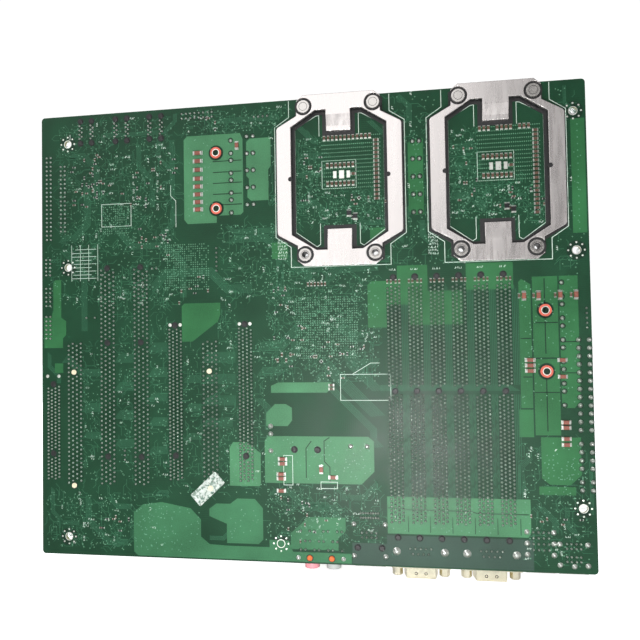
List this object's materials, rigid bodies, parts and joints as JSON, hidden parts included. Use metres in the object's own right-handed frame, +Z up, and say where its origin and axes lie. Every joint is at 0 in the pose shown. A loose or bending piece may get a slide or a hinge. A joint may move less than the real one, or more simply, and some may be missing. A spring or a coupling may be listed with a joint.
{
  "type": "computer motherboard",
  "caption": "Large server motherboard seen from its solder side, with steel processor backplates, memory and card slots, power headers and rear ports.",
  "frame": {"origin": "centre of the four case-screw holes around the upper half of the board, on the solder face", "axes": "+X across the board to the right as seen from the solder side, +Y through the board from the solder side to the component side, +Z up the board away from the connector edge"},
  "size_m": [0.3048, 0.0408, 0.2617],
  "materials": {
    "solder_mask": "semi-gloss green solder mask over woven glass laminate",
    "backplate_steel": "satin stamped steel",
    "black_film": "matt black film",
    "nickel_steel": "bright nickel-plated turned steel",
    "socket_plastic": "matt moulded plastic",
    "frame_steel": "bright stamped steel",
    "black_slot": "matt moulded plastic",
    "blue_slot": "matt moulded plastic",
    "ivory_slot": "matt moulded plastic",
    "green_slot": "matt moulded plastic",
    "latch_plastic": "matt moulded plastic",
    "power_plastic": "matt moulded nylon",
    "header_plastic": "matt moulded plastic",
    "disk_port_plastic": "matt moulded plastic",
    "package_black": "moulded epoxy with laser-marked dots",
    "package_green": "laminate package with a bare die",
    "sink_aluminium": "extruded, lightly brushed",
    "ferrite": "matt sintered ferrite",
    "can_aluminium": null,
    "cell_steel": "polished stainless steel",
    "jack_pink": "moulded pink plastic",
    "jack_grey": "moulded grey plastic",
    "jack_lime": "moulded lime green plastic",
    "jack_black": "moulded black plastic",
    "jack_sky": "moulded light blue plastic",
    "jack_orange": "moulded orange plastic",
    "port_shell": "tinned folded steel",
    "serial_shell": "nickel-plated drawn steel"
  },
  "bodies": {
    "root": {"backplate_insulators": "black_film", "backplate_studs": "nickel_steel", "battery_holder": "header_plastic", "bridge_chips": "package_green", "bus_ports": "port_shell", "bus_slot_1": "ivory_slot", "bus_slot_2": "ivory_slot", "centre_speaker_jack": "jack_orange", "circuit_board": "solder_mask", "coin_cell": "cell_steel", "electrolytic_capacitors": "can_aluminium", "express_slot_1": "black_slot", "express_slot_2": "black_slot", "keyboard_mouse_ports": "port_shell", "left_backplate": "backplate_steel", "left_socket_body": "socket_plastic", "left_socket_frame": "frame_steel", "line_in_jack": "jack_sky", "line_out_jack": "jack_lime", "logic_chips": "package_black", "main_power_connector": "power_plastic", "management_slot": "green_slot", "memory_slot_1": "blue_slot", "memory_slot_2": "black_slot", "memory_slot_3": "blue_slot", "memory_slot_4": "black_slot", "memory_slot_5": "blue_slot", "memory_slot_6": "black_slot", "microphone_jack": "jack_pink", "network_ports": "port_shell", "north_heat_sink": "sink_aluminium", "pin_headers": "header_plastic", "power_chokes": "ferrite", "power_transistors": "package_black", "processor_power_connectors": "power_plastic", "rear_speaker_jack": "jack_black", "ribbon_headers": "header_plastic", "right_backplate": "backplate_steel", "right_socket_body": "socket_plastic", "right_socket_frame": "frame_steel", "serial_disk_ports": "disk_port_plastic", "serial_port_left": "serial_shell", "serial_port_right": "serial_shell", "side_speaker_jack": "jack_grey", "south_heat_sink": "sink_aluminium", "wide_bus_slot_1": "green_slot", "wide_bus_slot_2": "green_slot"},
    "left_load_plate": {"left_load_plate": "frame_steel"},
    "left_load_lever": {"left_load_lever": "nickel_steel"},
    "right_load_plate": {"right_load_plate": "frame_steel"},
    "right_load_lever": {"right_load_lever": "nickel_steel"},
    "memory_latch_1_upper": {"memory_latch_1_upper": "latch_plastic"},
    "memory_latch_1_lower": {"memory_latch_1_lower": "latch_plastic"},
    "memory_latch_2_upper": {"memory_latch_2_upper": "latch_plastic"},
    "memory_latch_2_lower": {"memory_latch_2_lower": "latch_plastic"},
    "memory_latch_3_upper": {"memory_latch_3_upper": "latch_plastic"},
    "memory_latch_3_lower": {"memory_latch_3_lower": "latch_plastic"},
    "memory_latch_4_upper": {"memory_latch_4_upper": "latch_plastic"},
    "memory_latch_4_lower": {"memory_latch_4_lower": "latch_plastic"},
    "memory_latch_5_upper": {"memory_latch_5_upper": "latch_plastic"},
    "memory_latch_5_lower": {"memory_latch_5_lower": "latch_plastic"},
    "memory_latch_6_upper": {"memory_latch_6_upper": "latch_plastic"},
    "memory_latch_6_lower": {"memory_latch_6_lower": "latch_plastic"},
    "express_clip_1": {"express_clip_1": "latch_plastic"},
    "express_clip_2": {"express_clip_2": "latch_plastic"}
  },
  "joints": [
    {"name": "left_load_plate_hinge", "type": "hinge", "parent": "root", "child": "left_load_plate", "pos_m": [0.01883, 0.0052, 0.0342], "axis": [1, 0, 0], "range_deg": [0, 110]},
    {"name": "left_load_lever_hinge", "type": "hinge", "parent": "root", "child": "left_load_lever", "pos_m": [0.01883, 0.0052, -0.02099], "axis": [-1, 0, 0], "range_deg": [0, 135]},
    {"name": "right_load_plate_hinge", "type": "hinge", "parent": "root", "child": "right_load_plate", "pos_m": [0.10183, 0.0052, 0.0342], "axis": [1, 0, 0], "range_deg": [0, 110]},
    {"name": "right_load_lever_hinge", "type": "hinge", "parent": "root", "child": "right_load_lever", "pos_m": [0.10183, 0.0052, -0.02099], "axis": [-1, 0, 0], "range_deg": [0, 135]},
    {"name": "memory_latch_1_upper_hinge", "type": "hinge", "parent": "root", "child": "memory_latch_1_upper", "pos_m": [0.04693, 0.006, -0.0467], "axis": [1, 0, 0], "range_deg": [0, 30]},
    {"name": "memory_latch_1_lower_hinge", "type": "hinge", "parent": "root", "child": "memory_latch_1_lower", "pos_m": [0.04693, 0.006, -0.18649], "axis": [-1, 0, 0], "range_deg": [0, 30]},
    {"name": "memory_latch_2_upper_hinge", "type": "hinge", "parent": "root", "child": "memory_latch_2_upper", "pos_m": [0.05836, 0.006, -0.0467], "axis": [1, 0, 0], "range_deg": [0, 30]},
    {"name": "memory_latch_2_lower_hinge", "type": "hinge", "parent": "root", "child": "memory_latch_2_lower", "pos_m": [0.05836, 0.006, -0.18649], "axis": [-1, 0, 0], "range_deg": [0, 30]},
    {"name": "memory_latch_3_upper_hinge", "type": "hinge", "parent": "root", "child": "memory_latch_3_upper", "pos_m": [0.06979, 0.006, -0.0467], "axis": [1, 0, 0], "range_deg": [0, 30]},
    {"name": "memory_latch_3_lower_hinge", "type": "hinge", "parent": "root", "child": "memory_latch_3_lower", "pos_m": [0.06979, 0.006, -0.18649], "axis": [-1, 0, 0], "range_deg": [0, 30]},
    {"name": "memory_latch_4_upper_hinge", "type": "hinge", "parent": "root", "child": "memory_latch_4_upper", "pos_m": [0.08122, 0.006, -0.0467], "axis": [1, 0, 0], "range_deg": [0, 30]},
    {"name": "memory_latch_4_lower_hinge", "type": "hinge", "parent": "root", "child": "memory_latch_4_lower", "pos_m": [0.08122, 0.006, -0.18649], "axis": [-1, 0, 0], "range_deg": [0, 30]},
    {"name": "memory_latch_5_upper_hinge", "type": "hinge", "parent": "root", "child": "memory_latch_5_upper", "pos_m": [0.09265, 0.006, -0.0467], "axis": [1, 0, 0], "range_deg": [0, 30]},
    {"name": "memory_latch_5_lower_hinge", "type": "hinge", "parent": "root", "child": "memory_latch_5_lower", "pos_m": [0.09265, 0.006, -0.18649], "axis": [-1, 0, 0], "range_deg": [0, 30]},
    {"name": "memory_latch_6_upper_hinge", "type": "hinge", "parent": "root", "child": "memory_latch_6_upper", "pos_m": [0.10408, 0.006, -0.0467], "axis": [1, 0, 0], "range_deg": [0, 30]},
    {"name": "memory_latch_6_lower_hinge", "type": "hinge", "parent": "root", "child": "memory_latch_6_lower", "pos_m": [0.10408, 0.006, -0.18649], "axis": [-1, 0, 0], "range_deg": [0, 30]},
    {"name": "express_clip_1_hinge", "type": "hinge", "parent": "root", "child": "express_clip_1", "pos_m": [-0.07621, 0.0052, -0.0667], "axis": [1, 0, 0], "range_deg": [0, 30]},
    {"name": "express_clip_2_hinge", "type": "hinge", "parent": "root", "child": "express_clip_2", "pos_m": [-0.03557, 0.0052, -0.0667], "axis": [1, 0, 0], "range_deg": [0, 30]}
  ]
}
